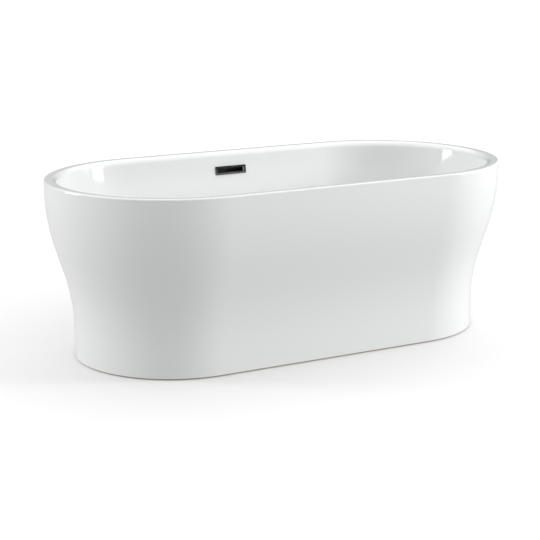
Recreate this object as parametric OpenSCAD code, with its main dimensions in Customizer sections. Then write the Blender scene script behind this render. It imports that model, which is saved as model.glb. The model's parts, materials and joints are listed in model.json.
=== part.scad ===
// Freestanding double-ended bathtub on a levelling frame, with overflow, click-clack waste and trap.
// +Z is up, +X runs along the bath, -Y is its front. The origin is on the floor under the middle.

/* [Bath] */
// Overall length over the rim
bath_l = 1600; // [1330:10:1920]
// Overall width over the rim
bath_w = 820; // [680:2:990]
// Overall height from the floor to the top of the rim
bath_h = 580; // [530:5:700]
// Height of the bathing floor above the room's floor
floor_h = 155; // [150:1:190]
// Thickness of the acrylic sheet
sheet_t = 5; // [4:0.5:6]
// Thickness of the glass-fibre laminate behind the acrylic
laminate_t = 3; // [2:0.5:4]

/* [Skirt] */
// How far the foot of the skirt stands inside the rim
skirt_inset = 82; // [60:1:100]
// Depth below the rim of the bend where the skirt starts to flare
flare_drop = 393; // [330:1:470]
// Angle of the flare from vertical
flare_angle = 17.4; // [14:0.1:20]
// Radius of the hollow curve at the foot of the flare
flare_low_r = 600; // [400:10:640]
// Radius of the round curve at the head of the flare
flare_high_r = 650; // [400:10:700]
// Shadow gap between the skirt and the floor
skirt_gap = 5; // [4:0.5:10]

/* [Rim] */
// Radius of the rim's outer edge
rim_outer_r = 6; // [6:0.5:10]
// Radius of the rim's inner edge
rim_inner_r = 22; // [12:0.5:26]
// Width from the rim's outer face to where the bathing wall would meet its top
rim_w = 42; // [40:0.2:60]
// Depth of the rim's turned-down lip
lip_h = 14; // [12:1:20]
// Width of the adhesive bead under the rim
bond_w = 16; // [10:1:20]
// Height of the adhesive bead under the rim
bond_h = 12; // [8:1:18]

/* [Bathing well] */
// Slope of the upper wall from vertical
wall_angle = 8; // [5:0.5:12]
// Slope of the lower wall from vertical
back_angle = 20; // [16:0.5:24]
// Depth below the rim of the bend between the two slopes
back_drop = 150; // [130:1:170]
// Radius of the bend between the two slopes
back_r = 400; // [200:10:500]
// Radius between the lower wall and the bathing floor
floor_r = 100; // [60:5:120]

/* [Overflow] */
// Depth of the overflow's middle below the rim
overflow_drop = 65; // [60:1:80]
// Width of the overflow cover
cover_w = 120; // [100:1:150]
// Height of the overflow cover
cover_h = 30; // [26:1:40]
// How far the overflow cover stands off the wall
cover_t = 4; // [3:0.5:6]
// Width of the metal left around the cover's slot
cover_border = 7; // [5:0.5:9]
// Depth of the overflow box behind the wall
overflow_depth = 28; // [26:0.5:29]
// Outer radius of the overflow pipe
pipe_r = 11.5; // [10:0.5:12]
// Wall of the overflow pipe
pipe_wall = 2; // [1.5:0.25:3]

/* [Waste] */
// Radius of the drain flange's throat
throat_r = 20; // [18:0.5:22]
// Wall of the drain flange's threaded neck
throat_wall = 2.5; // [2:0.25:3]
// Radius of the drain flange's lip
lip_r = 35; // [33:0.5:38]
// Radius of the plug's cap
plug_r = 33; // [30:0.5:34]
// How far the plug rises when it opens
plug_lift = 9; // [6:0.5:10]
// Outer radius of the waste body's cup
cup_r = 36; // [34:0.5:40]
// Outer radius of the trap's cup
trap_r = 44; // [42:0.5:46]
// Outer radius of the tail that drops into the floor waste
tail_r = 20; // [18:0.5:20]
// Distance from the drain to the tail
tail_x = 120; // [115:1:130]

/* [Frame and feet] */
// Width and height of the steel channels
channel_w = 30; // [28:1:34]
// Wall of the steel channels
channel_wall = 2; // [1.5:0.25:2.5]
// Thickness of the base board
board_t = 18; // [15:1:18]
// Radius of the threaded foot stems
stem_r = 6; // [5:0.5:7]
// Radius of the foot pads
pad_r = 26; // [22:1:30]
// Height of the foot pads
pad_h = 14; // [12:1:16]
// Distance from the drain to the middle channel
middle_x = 160; // [140:1:180]

/* [Hidden] */
$fn = 96;

white = "white";
steel = "silver";
resin = "wheat";
plastic = "dimgray";
rubber = "black";

// Clearances
run_gap = 0.05;      // round a shaft that turns or slides in its bore
slip_gap = 0.3;      // between faces that pass each other
hole_gap = 1;        // round a piece that passes through a panel
eps = 0.01;          // how far a joined piece runs into its neighbour
cut = 1;             // how far a hole runs past the faces it opens
lap = 0.02;          // how far a sloping stretch of a band runs into the arc beside it

// Stadium outline that every shell shares: two half circles joined by straight sides
rim_r = bath_w / 2;
half_straight = bath_l / 2 - rim_r;
shell_t = sheet_t + laminate_t;
laminate_side_gap = 1;
laminate_top_gap = 2;
hem_h = 3;

// Points and directions of the bathing well's section, as [radius, height]
well_top = [rim_r - rim_w, bath_h];
well_bend = [well_top[0] - back_drop * tan(wall_angle), bath_h - back_drop];
well_corner = [well_bend[0] - (well_bend[1] - floor_h) * tan(back_angle), floor_h];
floor_flat_r = well_corner[0] - floor_r * tan((90 - back_angle) / 2);

well_path = [[0, floor_h], well_corner, well_bend, well_top, [rim_r, bath_h], [rim_r, bath_h - lip_h]];
well_radii = [0, floor_r, back_r, rim_inner_r, rim_outer_r, 0];

// Section of the skirt's face, from its foot up to the rim's lip
flare_low_z = bath_h - flare_drop;
flare_high_z = flare_low_z + skirt_inset / tan(flare_angle);
skirt_foot_r = rim_r - skirt_inset;
skirt_inner_r = skirt_foot_r - shell_t;
skirt_path = [
  [skirt_foot_r, skirt_gap], [skirt_foot_r, flare_low_z], [rim_r, flare_high_z], [rim_r, bath_h - lip_h]
];
skirt_radii = [0, flare_low_r, flare_high_r, 0];

// Overflow: middle of the slot on the bathing wall
overflow_z = bath_h - overflow_drop;
overflow_y = well_top[0] - overflow_drop * tan(wall_angle);
slot_w = cover_w - 2 * cover_border;
slot_h = cover_h - 2 * cover_border;
cover_corner_r = 2;
gasket_t = 2;
cover_wall = 1.2;
insert_t = 1;
overflow_screw_r = 1.5;
overflow_head_r = 2.2;
overflow_screw_x = slot_w / 2 + cover_border / 2;
box_wall = 2.5;
box_w = slot_w + 2 * box_wall;
box_h = slot_h + 2 * box_wall;
flange_over = 7;
flange_w = box_w + 2 * flange_over;
flange_h = box_h + 2 * flange_over;
box_corner_r = 3;
pipe_nut_wall = 3;
pipe_nut_grow = 3;
pipe_nut_l = 16;
socket_wall = 2.5;
socket_l = 20;
pipe_axis_z = -(shell_t + gasket_t + overflow_depth - pipe_r - socket_wall);
socket_stop = 3;
socket_end_y = -box_h / 2 - socket_l;
overflow_screw_tip = 2;
overflow_screw_l = shell_t + gasket_t + box_wall + overflow_screw_tip;
pipe_swell = 0.6;
pipe_bend_l = 96;
pipe_corner_gap = 33;

// Frame heights
board_z = floor_h - shell_t - board_t;
board_edge_gap = 8;
board_r = floor_flat_r - board_edge_gap;
channel_z = board_z - channel_w;
foot_inset = 140;
foot_y = skirt_inner_r - foot_inset;
channel_out = 40;
channel_x = half_straight + channel_out;
channels_x = [-channel_x, -middle_x, channel_x];
channel_over = 22;
channel_half_l = foot_y + channel_over;
bracket_screw_in = 6;
bracket_screw_y = channel_half_l - bracket_screw_in;
tie_t = 4;
tie_w = 30;
tie_in = 40;
tie_y = foot_y - tie_in;
tie_z = channel_z - tie_t;
bracket_t = 3;
bracket_w = 40;
bracket_h = 50;
bracket_lap = 12;
screw_r = 2.5;
screw_head_r = 5;
screw_head_h = 3;
screw_l = 14;
screw_tip_gap = 1;
screw_edge = 30;
screw_spread = board_r - screw_edge;

// Feet
nut_t = 10;
nut_af_r = 1.75 * stem_r;
stem_top_gap = 4;
stem_top = channel_z + channel_w - channel_wall - stem_top_gap;
ball_grow = 2;
ball_r = stem_r + ball_grow;
ball_sink = 3;
ball_z = pad_h - ball_sink;
ball_wall = 4;
pad_floor = 4;
rib_w = 3;
rib_h = 8;
rib_in = 3;
hexagon_r = 1.5 * stem_r;
hexagon_h = 8;
hexagon_gap = 2;
foot_places = [
  [-channel_x, -foot_y], [-channel_x, foot_y], [channel_x, -foot_y], [channel_x, foot_y], [-middle_x, 0]
];

// Waste: heights are worked down from the bathing floor
gasket_lip_t = 1;
gasket_in = 1;
lip_t = 2.5;
lip_z = floor_h + gasket_lip_t;
neck_r = throat_r + throat_wall;
neck_l = 25;
neck_z = floor_h - neck_l;
spider_rise = 1;
spider_z = neck_z + spider_rise;
spider_root = 1;
spider_t = 6;
spider_w = 3;
hub_r = 8;
floor_gasket_t = 3;
cup_top = floor_h - shell_t - floor_gasket_t;
collar_over = 4;
collar_r = cup_r + collar_over;
collar_t = 5;
cup_wall = 3;
cup_h = 57;
cup_bottom = floor_h - cup_h;
inlet_drop = 0.5;
inlet_z = (cup_bottom + cup_top - collar_t) / 2 - inlet_drop;
inlet_l = 34;
inlet_end = cup_r + inlet_l;
waste_neck_r = 23;
waste_neck_l = 12;
waste_neck_z = cup_bottom - waste_neck_l;
notch_w = 2 * (pipe_r + pipe_nut_wall + socket_wall + hole_gap);
board_hole_gap = 8;
board_hole_r = collar_r + board_hole_gap;

// Overflow pipe's route in the plane x = 0, as [y, z], from the overflow down to the waste
pipe_start = [
  overflow_y + socket_end_y * sin(wall_angle) - pipe_axis_z * cos(wall_angle),
  overflow_z + socket_end_y * cos(wall_angle) + pipe_axis_z * sin(wall_angle)
] + (socket_l - socket_stop) * [sin(wall_angle), cos(wall_angle)];
pipe_points = [
  pipe_start,
  pipe_start - pipe_bend_l * [sin(wall_angle), cos(wall_angle)],
  [well_corner[0] + pipe_corner_gap, inlet_z],
  [inlet_end - socket_l, inlet_z]
];

// Plug
seal_t = 2;
seal_out = 4;
seal_in = 2;
cap_t = 3.5;
dome_r = 180;
cap_z = lip_z + lip_t + seal_t;
cartridge_r = 8;
cartridge_bore = 6.6;
cartridge_z = spider_z + spider_t;
cartridge_h = 17;
cartridge_floor = 1.5;
stud_r = 4;
stud_end = 2;
plug_rod_r = 5;
rod_tip_r = 3;
spring_l = 6.5;
rod_foot_z = cartridge_z + cartridge_floor + spring_l;
latch_h = 4;
tooth_w = 2;
foot_flange_t = 1;
spring_r = 3.4;
wire_r = 0.5;
spring_turns = 4;

// Trap
washer_t = 2;
dip_r = 20;
dip_wall = 3;
dip_flange_t = 2;
dip_end = 19;
trap_nut_r = 29;
nut_lip = 3;
trap_nut_up = 9;
trap_gap = 1;
trap_top = waste_neck_z - washer_t - dip_flange_t - nut_lip - trap_gap;
trap_cap_z = 10;
trap_cap_wall = 3;
trap_cap_h = 14;
trap_wall = 3;
outlet_wall = 3;
outlet_r = tail_r + outlet_wall;
outlet_drop = 1;
outlet_z = trap_top - outlet_r - outlet_drop;
outlet_l = 22;
outlet_end = trap_r + outlet_l;
outlet_nut_grow = 4;
outlet_nut_grip = 10;
outlet_seal_w = 3;
elbow_r = 25;
elbow_grip = 14;
elbow_in = outlet_end - elbow_grip;
tail_end = 8;
tail_wall = 2.5;

// Unit direction at an angle from +X in the section plane
function dir(a) = [cos(a), sin(a)];

// Unit normal to the left of a direction angle
function left(a) = [-sin(a), cos(a)];

// Direction angle from one point to the next
function heading(p, q) = atan2(q[1] - p[1], q[0] - p[0]);

// Turn from one heading to another, from -180 to 180
function turn_of(a, b) = (b - a + 540) % 360 - 180;

// Distance that rounding takes off the path before and after corner i
function trim(path, radii, i) =
  i == 0 || i == len(path) - 1 ? 0 :
  radii[i] * tan(abs(turn_of(heading(path[i - 1], path[i]), heading(path[i], path[i + 1]))) / 2);

// Band that follows a path with rounded corners, between offsets g0 and g1 to the path's left
module band(path, radii, g0, g1) {
  last = len(path) - 1;
  for (i = [0:last - 1]) {
    a = heading(path[i], path[i + 1]);
    over = round(a) % 90 == 0 ? 0 : lap;
    p = path[i] + (trim(path, radii, i) - (i > 0 ? over : 0)) * dir(a);
    q = path[i + 1] - (trim(path, radii, i + 1) - (i < last - 1 ? over : 0)) * dir(a);
    polygon([p + g0 * left(a), q + g0 * left(a), q + g1 * left(a), p + g1 * left(a)]);
  }
  for (i = [1:last - 1]) {
    a = heading(path[i - 1], path[i]);
    turn = turn_of(a, heading(path[i], path[i + 1]));
    side = sign(turn);
    centre = path[i] - trim(path, radii, i) * dir(a) + side * radii[i] * left(a);
    arc_band(centre, a - side * 90, turn, radii[i] - side * g0, radii[i] - side * g1);
  }
}

// Part of a ring about a centre, from a start angle through a turn, between two radii. It fills
// to the centre where the smaller radius comes out below nothing.
module arc_band(centre, start, turn, r0, r1) {
  reach = 2 * max(r0, r1);
  translate(centre) difference() {
    intersection() {
      circle(r = max(r0, r1), $fn = 360);
      polygon([[0, 0], reach * dir(start), reach * dir(start + turn / 2), reach * dir(start + turn)]);
    }
    if (min(r0, r1) > 0) circle(r = min(r0, r1), $fn = 360);
  }
}

// Section of the bathing well, from the middle of its floor, up its wall and over the rim to its lip
module well_band(g0, g1) {
  band(well_path, well_radii, -g0, -g1);
}

// Section of the skirt, from its foot up to the rim, between two depths behind its face
module skirt_band(g0, g1) {
  band(skirt_path, skirt_radii, g0, g1);
}

// Stadium ring: revolves the section round each end and runs it along each side
module stadium() {
  for (turn = [0, 180]) {
    rotate([0, 0, turn]) {
      translate([half_straight, 0, 0]) rotate([0, 0, -90]) rotate_extrude(angle = 180) children();
      translate([-half_straight, 0, 0]) rotate([90, 0, 90]) linear_extrude(2 * half_straight) children();
    }
  }
}

// Flat stadium plate of end radius r
module stadium_plate(r, z, t) {
  translate([0, 0, z]) {
    for (side = [-1, 1]) translate([side * half_straight, 0, 0]) cylinder(r = r, h = t);
    translate([-half_straight, -r, 0]) cube([2 * half_straight, 2 * r, t]);
  }
}

// Tube along Z between two heights
module tube(outer, inner, z0, z1) {
  translate([0, 0, z0]) difference() {
    cylinder(r = outer, h = z1 - z0);
    translate([0, 0, -cut]) cylinder(r = inner, h = z1 - z0 + 2 * cut);
  }
}

// Places children at the overflow: x along the bath, y up the wall, z out into the well
module at_overflow() {
  translate([0, overflow_y, overflow_z]) rotate([90 - wall_angle, 0, 0]) children();
}

// Plate with rounded corners, centred on x and y, between two depths
module rounded_plate(w, h, r, z0, z1) {
  translate([0, 0, z0]) linear_extrude(z1 - z0) {
    square([w - 2 * r, h], center = true);
    square([w, h - 2 * r], center = true);
    for (x = [-1, 1], y = [-1, 1]) translate([x * (w / 2 - r), y * (h / 2 - r)]) circle(r = r, $fn = 24);
  }
}

// Slot and screw holes through the shell for the overflow
module overflow_slot() {
  at_overflow() {
    rounded_plate(slot_w, slot_h, cover_corner_r, -2 * shell_t, shell_t);
    overflow_screw_holes(-2 * shell_t, shell_t);
  }
}

/* Shells */

module inner_tub() {
  color(white) difference() {
    stadium() well_band(0, sheet_t);
    translate([0, 0, floor_h - 2 * sheet_t]) cylinder(r = neck_r + hole_gap, h = 3 * sheet_t);
    overflow_slot();
  }
}

module inner_laminate() {
  color(resin) difference() {
    stadium() intersection() {
      well_band(sheet_t, shell_t);
      square([rim_r - sheet_t - bond_w - laminate_side_gap, bath_h - lip_h - bond_h - laminate_top_gap]);
    }
    translate([0, 0, floor_h - 2 * shell_t]) cylinder(r = neck_r + hole_gap, h = 3 * shell_t);
    overflow_slot();
  }
}

module outer_skirt() {
  color(white) stadium() skirt_band(0, sheet_t);
}

module skirt_laminate() {
  color(resin) stadium() intersection() {
    skirt_band(sheet_t, shell_t);
    translate([0, skirt_gap + hem_h]) square([rim_r, bath_h - lip_h - bond_h - skirt_gap - hem_h]);
  }
}

// Bead that joins the rim's underside to the top of the skirt, rounded to fill the rim's inner corner
module rim_bond() {
  bond_r = rim_r - sheet_t;
  fill_r = rim_outer_r - sheet_t;
  color("gainsboro") stadium() difference() {
    translate([bond_r - bond_w, bath_h - lip_h - bond_h]) square([bond_w, bond_h + lip_h - sheet_t]);
    translate([bond_r - fill_r, bath_h - rim_outer_r]) difference() {
      square(rim_outer_r);
      circle(r = fill_r);
    }
  }
}

module base_board() {
  color("burlywood") difference() {
    stadium_plate(board_r, board_z, board_t);
    translate([0, 0, board_z - cut]) cylinder(r = board_hole_r, h = board_t + 2 * cut);
    translate([-notch_w / 2, 0, board_z - cut]) cube([notch_w, board_r + cut, board_t + 2 * cut]);
    for (x = channels_x, y = [-1, 1] * screw_spread) translate([x, y, board_z - cut])
      cylinder(r = screw_r, h = cut + screw_l - 2 * screw_tip_gap);
  }
}

/* Frame */

// Box-section channel across the bath at x, with a hole through its lower wall at each foot
module channel(x, half_l, feet_y) {
  color(steel) difference() {
    translate([x - channel_w / 2, -half_l, channel_z]) cube([channel_w, 2 * half_l, channel_w]);
    translate([x - channel_w / 2 + channel_wall, -half_l - cut, channel_z + channel_wall])
      cube([channel_w - 2 * channel_wall, 2 * half_l + 2 * cut, channel_w - 2 * channel_wall]);
    for (y = feet_y) translate([x, y, channel_z - cut])
      cylinder(r = stem_r + hole_gap, h = channel_wall + 2 * cut);
    for (y = concat([-1, 1] * screw_spread, [-1, 1] * bracket_screw_y))
      translate([x, y, channel_z + channel_w - channel_wall - cut])
        cylinder(r = screw_r, h = channel_wall + 2 * cut);
  }
}

// Flat bar that ties the three channels together along one side
module tie_bar(side) {
  color(steel) translate([-channel_x - channel_w / 2, side * tie_y - tie_w / 2, tie_z])
    cube([2 * channel_x + channel_w, tie_w, tie_t]);
}

// Angle bracket from a channel's end to the back of the skirt
module bracket(side_x, side_y) {
  reach = sqrt(pow(skirt_inner_r, 2) - pow(channel_out + bracket_w / 2, 2)) - slip_gap;
  color(steel) translate([side_x * channel_x - bracket_w / 2, 0, 0]) mirror([0, side_y < 0 ? 1 : 0, 0])
    difference() {
      union() {
        translate([0, channel_half_l - bracket_lap, channel_z + channel_w])
          cube([bracket_w, reach - channel_half_l + bracket_lap, bracket_t]);
        translate([0, reach - bracket_t, channel_z + channel_w + bracket_t - bracket_h])
          cube([bracket_w, bracket_t, bracket_h]);
      }
      translate([bracket_w / 2, bracket_screw_y, channel_z + channel_w - cut])
        cylinder(r = screw_r, h = bracket_t + 2 * cut);
    }
}

// Pan-head screw pointing up from height z, with its shank through what it holds
module screw(x, y, z, l) {
  translate([x, y, z - screw_head_h]) cylinder(r = screw_head_r, h = screw_head_h);
  translate([x, y, z]) cylinder(r = screw_r, h = l);
}

module board_screws() {
  color(steel) for (x = channels_x, y = [-1, 1] * screw_spread)
    screw(x, y, channel_z + channel_w - channel_wall, channel_wall + screw_l - 2 * screw_tip_gap);
}

module bracket_screws() {
  color(steel) for (x = [-1, 1] * channel_x, y = [-1, 1] * bracket_screw_y)
    screw(x, y, channel_z + channel_w - channel_wall, channel_wall + bracket_t);
}

// Hexagon nut round a foot stem
module foot_nut(place, z) {
  translate([place[0], place[1], z]) difference() {
    cylinder(r = nut_af_r, h = nut_t, $fn = 6);
    translate([0, 0, -cut]) cylinder(r = stem_r + run_gap, h = nut_t + 2 * cut);
  }
}

module weld_nuts() {
  color(steel) for (place = foot_places) foot_nut(place, channel_z + channel_wall);
}

module lock_nuts() {
  color(steel) for (place = foot_places) foot_nut(place, channel_z - nut_t);
}

// Threaded stem with a hexagon drive and a ball that turns in the pad
module foot_stem(place) {
  color(steel) translate([place[0], place[1], 0]) {
    translate([0, 0, ball_z]) cylinder(r = stem_r, h = stem_top - ball_z);
    translate([0, 0, pad_h + hexagon_gap]) cylinder(r = hexagon_r, h = hexagon_h, $fn = 6);
    translate([0, 0, ball_z]) sphere(r = ball_r);
  }
}

// Pad with a socket that holds the stem's ball
module foot_pad(place) {
  color(plastic) translate([place[0], place[1], 0]) difference() {
    union() {
      cylinder(r = pad_r, h = pad_floor);
      cylinder(r = ball_r + ball_wall, h = pad_h);
      for (turn = [0, 60, 120]) rotate([0, 0, turn])
        translate([rib_in - pad_r, -rib_w / 2, 0]) cube([2 * (pad_r - rib_in), rib_w, rib_h]);
    }
    translate([0, 0, ball_z]) sphere(r = ball_r + run_gap);
    translate([0, 0, ball_z]) cylinder(r = stem_r + hole_gap, h = pad_h);
  }
}

/* Waste */

module drain_flange() {
  color(steel) {
    tube(lip_r, throat_r, lip_z, lip_z + lip_t);
    tube(neck_r, throat_r, neck_z, lip_z + eps);
    difference() {
      union() {
        for (turn = [0, 90]) rotate([0, 0, turn])
          translate([-throat_r - spider_root, -spider_w / 2, spider_z])
            cube([2 * (throat_r + spider_root), spider_w, spider_t]);
        translate([0, 0, spider_z]) cylinder(r = hub_r, h = spider_t);
      }
      translate([0, 0, spider_z - cut]) cylinder(r = stud_r, h = spider_t + 2 * cut);
    }
  }
}

module flange_gasket() {
  color(rubber) tube(lip_r - gasket_in, neck_r, floor_h, lip_z);
}

module floor_gasket() {
  color(rubber) tube(collar_r, neck_r + hole_gap, cup_top, cup_top + floor_gasket_t);
}

module waste_body() {
  color(plastic) difference() {
    union() {
      translate([0, 0, cup_top - collar_t]) cylinder(r = collar_r, h = collar_t);
      translate([0, 0, cup_bottom]) cylinder(r = cup_r, h = cup_top - cup_bottom);
      translate([0, 0, waste_neck_z]) cylinder(r = waste_neck_r, h = waste_neck_l + cut);
      translate([0, 0, inlet_z]) rotate([-90, 0, 0]) cylinder(r = pipe_r + socket_wall, h = inlet_end);
    }
    translate([0, 0, cup_top - collar_t]) cylinder(r = neck_r, h = collar_t + cut);
    translate([0, 0, cup_bottom + cup_wall])
      cylinder(r = cup_r - cup_wall, h = cup_top - collar_t - cup_bottom - cup_wall);
    translate([0, 0, waste_neck_z - cut])
      cylinder(r = waste_neck_r - cup_wall, h = waste_neck_l + cup_wall + 2 * cut);
    translate([0, 0, inlet_z]) rotate([-90, 0, 0]) cylinder(r = pipe_r - pipe_wall, h = inlet_end);
    translate([0, inlet_end - socket_l, inlet_z]) rotate([-90, 0, 0]) cylinder(r = pipe_r, h = socket_l + cut);
  }
}

// Low dome with a rounded edge
module plug_cap() {
  color(steel) translate([0, 0, cap_z]) rotate_extrude() intersection() {
    square([plug_r, cap_t]);
    translate([0, cap_t - dome_r]) circle(r = dome_r, $fn = 1440);
  }
}

module plug_seal() {
  color(rubber) tube(throat_r + seal_out, throat_r - seal_in, cap_z - seal_t, cap_z);
}

module plug_stem() {
  latch_z = rod_foot_z + foot_flange_t + 2 * run_gap + latch_h;
  color(steel) {
    translate([0, 0, latch_z]) cylinder(r = plug_rod_r, h = cap_z - latch_z);
    translate([0, 0, rod_foot_z]) cylinder(r = rod_tip_r, h = latch_z - rod_foot_z + cut);
    translate([0, 0, rod_foot_z]) cylinder(r = plug_rod_r, h = foot_flange_t);
  }
}

module plug_cartridge() {
  color(steel) {
    difference() {
      translate([0, 0, cartridge_z]) cylinder(r = cartridge_r, h = cartridge_h);
      translate([0, 0, cartridge_z + cartridge_floor]) cylinder(r = cartridge_bore, h = cartridge_h);
    }
    translate([0, 0, spider_z - stud_end]) cylinder(r = stud_r, h = cartridge_z - spider_z + stud_end + cut);
  }
}

// Ring with four teeth that catches the plug at the bottom of its stroke
module latch_ring() {
  color("goldenrod") translate([0, 0, rod_foot_z + foot_flange_t + run_gap]) difference() {
    union() {
      cylinder(r = plug_rod_r, h = latch_h);
      for (turn = [0, 90]) rotate([0, 0, turn]) intersection() {
        translate([-cartridge_bore, -tooth_w / 2, 0]) cube([2 * cartridge_bore, tooth_w, latch_h]);
        cylinder(r = cartridge_bore - 2 * run_gap, h = latch_h);
      }
    }
    translate([0, 0, -cut]) cylinder(r = rod_tip_r + run_gap, h = latch_h + 2 * cut);
  }
}

// Coil spring under the plug's rod, as rings of points swept along a helix
module plug_spring() {
  sides = 6;
  steps = 14;
  low = cartridge_z + cartridge_floor + wire_r;
  high = rod_foot_z - wire_r;
  count = spring_turns * steps;
  points = [for (i = [0:count], j = [0:sides - 1])
    let (a = 360 * i / steps, b = 360 * j / sides, r = spring_r + wire_r * cos(b))
    [r * cos(a), r * sin(a), low + (high - low) * i / count + wire_r * sin(b)]];
  walls = [for (i = [0:count - 1], j = [0:sides - 1])
    let (k = (j + 1) % sides)
    [i * sides + j, i * sides + k, (i + 1) * sides + k, (i + 1) * sides + j]];
  ends = [[for (j = [sides - 1:-1:0]) j], [for (j = [0:sides - 1]) count * sides + j]];
  color(steel) polyhedron(points, concat(walls, ends));
}

/* Trap */

module trap_nut() {
  flange_z = waste_neck_z - washer_t - dip_flange_t;
  color(plastic) difference() {
    translate([0, 0, flange_z - nut_lip])
      cylinder(r = trap_nut_r, h = nut_lip + dip_flange_t + washer_t + trap_nut_up, $fn = 8);
    translate([0, 0, flange_z]) cylinder(r = waste_neck_r, h = dip_flange_t + washer_t + trap_nut_up + cut);
    translate([0, 0, flange_z - nut_lip - cut]) cylinder(r = dip_r, h = nut_lip + 2 * cut);
  }
}

module trap_washer() {
  color(rubber) tube(waste_neck_r, dip_r - dip_wall, waste_neck_z - washer_t, waste_neck_z);
}

module dip_tube() {
  flange_z = waste_neck_z - washer_t - dip_flange_t;
  color(plastic) {
    tube(dip_r, dip_r - dip_wall, dip_end, flange_z + dip_flange_t);
    tube(waste_neck_r, dip_r - dip_wall, flange_z, flange_z + dip_flange_t);
  }
}

module trap_body() {
  bottom = trap_cap_z + trap_cap_wall;
  color(plastic) difference() {
    union() {
      translate([0, 0, bottom]) cylinder(r = trap_r, h = trap_top - bottom);
      translate([0, 0, outlet_z]) rotate([0, 90, 0]) cylinder(r = outlet_r, h = outlet_end);
    }
    translate([0, 0, bottom - cut]) cylinder(r = trap_r - trap_wall, h = trap_top - trap_wall - bottom + cut);
    translate([0, 0, bottom]) cylinder(r = dip_r, h = trap_top);
    translate([trap_r - 2 * trap_wall, 0, outlet_z]) rotate([0, 90, 0]) cylinder(r = tail_r, h = outlet_end);
  }
}

module trap_cap() {
  color(plastic) difference() {
    translate([0, 0, trap_cap_z]) cylinder(r = trap_r + trap_cap_wall, h = trap_cap_h, $fn = 12);
    translate([0, 0, trap_cap_z + trap_cap_wall]) cylinder(r = trap_r, h = trap_cap_h);
  }
}

module outlet_nut() {
  length = outlet_nut_grip + outlet_seal_w + nut_lip;
  color(plastic) translate([outlet_end - outlet_nut_grip, 0, outlet_z]) rotate([0, 90, 0]) difference() {
    cylinder(r = outlet_r + outlet_nut_grow, h = length, $fn = 8);
    translate([0, 0, -cut]) cylinder(r = outlet_r, h = length - nut_lip + cut);
    translate([0, 0, -cut]) cylinder(r = tail_r, h = length + 2 * cut);
  }
}

module outlet_seal() {
  color(rubber) translate([outlet_end, 0, outlet_z]) rotate([0, 90, 0])
    tube(outlet_r, tail_r, 0, outlet_seal_w);
}

module outlet_elbow() {
  ring = tail_r - tail_wall;
  color(plastic) {
    translate([elbow_in, 0, outlet_z]) rotate([0, 90, 0]) tube(tail_r, ring, 0, tail_x - elbow_r - elbow_in);
    translate([tail_x - elbow_r, 0, outlet_z - elbow_r]) rotate([90, 0, 0]) rotate_extrude(angle = 90)
      translate([elbow_r, 0]) difference() {
        circle(r = tail_r);
        circle(r = ring);
      }
    translate([tail_x, 0, 0]) tube(tail_r, ring, tail_end, outlet_z - elbow_r);
  }
}

/* Overflow */

module overflow_cover() {
  color(steel) at_overflow() difference() {
    rounded_plate(cover_w, cover_h, cover_corner_r, 0, cover_t);
    rounded_plate(slot_w, slot_h, cover_corner_r / 2, -cut, cover_t + cut);
    difference() {
      rounded_plate(cover_w - 2 * cover_wall, cover_h - 2 * cover_wall, cover_corner_r / 2, -cut,
        cover_t - cover_wall);
      rounded_plate(slot_w + 2 * cover_wall, slot_h + 2 * cover_wall, cover_corner_r / 2, -2 * cut, cover_t);
    }
  }
}

// Thin frame behind the cover, which the two screws hold to the wall
module overflow_insert() {
  color(steel) at_overflow() difference() {
    rounded_plate(cover_w - 2 * cover_wall, cover_h - 2 * cover_wall, cover_corner_r / 2, 0, insert_t);
    rounded_plate(slot_w + 2 * cover_wall, slot_h + 2 * cover_wall, cover_corner_r / 2, -cut, insert_t + cut);
    overflow_screw_holes(-cut, insert_t + cut);
  }
}

// Holes for the two screws, between two depths
module overflow_screw_holes(z0, z1) {
  for (side = [-1, 1]) translate([side * overflow_screw_x, 0, z0])
    cylinder(r = overflow_screw_r, h = z1 - z0, $fn = 24);
}

module overflow_gasket() {
  color(rubber) at_overflow() difference() {
    rounded_plate(flange_w, flange_h, box_corner_r, -shell_t - gasket_t, -shell_t);
    rounded_plate(slot_w, slot_h, cover_corner_r, -shell_t - gasket_t - cut, -shell_t + cut);
    overflow_screw_holes(-shell_t - gasket_t - cut, -shell_t + cut);
  }
}

module overflow_body() {
  front = -shell_t - gasket_t;
  back = front - overflow_depth;
  color(plastic) at_overflow() difference() {
    union() {
      rounded_plate(flange_w, flange_h, box_corner_r, front - box_wall, front);
      rounded_plate(box_w, box_h, box_corner_r, back, front);
      translate([0, -box_h / 2 + box_wall, pipe_axis_z]) rotate([90, 0, 0])
        cylinder(r = pipe_r + socket_wall, h = socket_l + box_wall);
    }
    rounded_plate(slot_w, slot_h, cover_corner_r, back + box_wall, front + cut);
    translate([0, -slot_h / 2 + cut, pipe_axis_z]) rotate([90, 0, 0])
      cylinder(r = pipe_r - pipe_wall, h = socket_l + box_wall + 2 * cut);
    translate([0, -box_h / 2 - socket_stop, pipe_axis_z]) rotate([90, 0, 0]) cylinder(r = pipe_r, h = socket_l);
    overflow_screw_holes(back - cut, front + cut);
  }
}

module overflow_screws() {
  color(steel) at_overflow() for (side = [-1, 1]) translate([side * overflow_screw_x, 0, 0]) {
    translate([0, 0, insert_t])
      cylinder(r = overflow_head_r, h = cover_t - cover_wall - insert_t - slip_gap, $fn = 24);
    translate([0, 0, -overflow_screw_l])
      cylinder(r = overflow_screw_r, h = overflow_screw_l + insert_t, $fn = 24);
  }
}

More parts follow.
